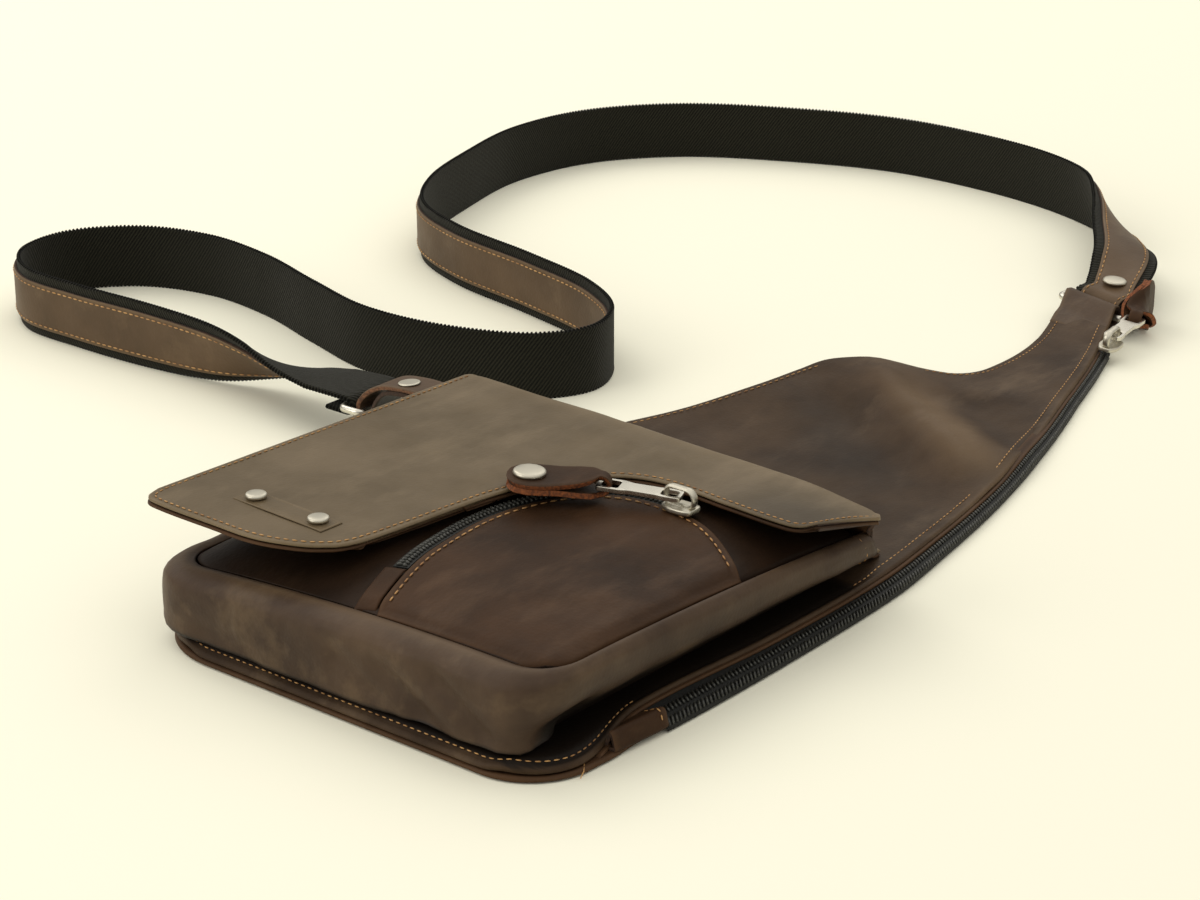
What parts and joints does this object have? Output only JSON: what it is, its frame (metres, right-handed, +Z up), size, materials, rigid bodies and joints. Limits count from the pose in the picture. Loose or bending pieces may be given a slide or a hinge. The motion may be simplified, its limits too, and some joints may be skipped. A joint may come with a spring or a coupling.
{
  "type": "crossbody bag",
  "caption": "Flat teardrop crossbody bag in brown leather, lying on its back: flapped gusset pocket with curved zip, side zip, webbing strap with leather overlay on wire rings.",
  "frame": {"origin": "on the table under the middle of the bounding box of the bag and its laid-out strap", "axes": "+X across the bag towards its long side zip, +Y from the bottom edge to the narrow top end, +Z up from the table"},
  "size_m": [0.522, 0.6798, 0.0549],
  "materials": {
    "leather": "waxed brown pull-up leather, satin",
    "dark_leather": "waxed dark brown leather, satin",
    "zip_tape": "black nylon tape and coil",
    "webbing": "black woven cotton webbing",
    "nickel": "polished nickel"
  },
  "bodies": {
    "bag": {"back_panel": "dark_leather", "front_panel": "leather", "pocket_gusset": "leather", "pocket_front": "dark_leather", "zip_pocket_panel": "leather", "front_zip": "zip_tape", "zip_lip": "dark_leather", "flap": "leather", "label_patch": "dark_leather", "label_rivet_left": "nickel", "label_rivet_right": "nickel", "front_slider": "nickel", "side_zip": "zip_tape", "zip_end_tab": "leather", "side_slider": "nickel", "lower_ring": "nickel", "upper_ring": "nickel", "lower_tab": "leather", "lower_tab_rivet": "nickel", "top_loop": "leather", "strap_webbing": "webbing", "strap_overlay": "leather", "strap_rivet": "nickel"},
    "front_pull": {"front_pull_tab": "nickel", "front_puller": "leather", "front_puller_rivet": "nickel"},
    "side_pull": {"side_pull_tab": "nickel", "side_puller": "leather"}
  },
  "joints": [
    {"name": "front_pull_hinge", "type": "hinge", "parent": "bag", "child": "front_pull", "pos_m": [0.20365, -0.20047, 0.04797], "axis": [-0.3746, 0.9272, 0], "range_deg": [0, 110]},
    {"name": "side_pull_hinge", "type": "hinge", "parent": "bag", "child": "side_pull", "pos_m": [0.18315, 0.14213, 0.01169], "axis": [0.9877, 0.1564, 0], "range_deg": [0, 110]}
  ]
}
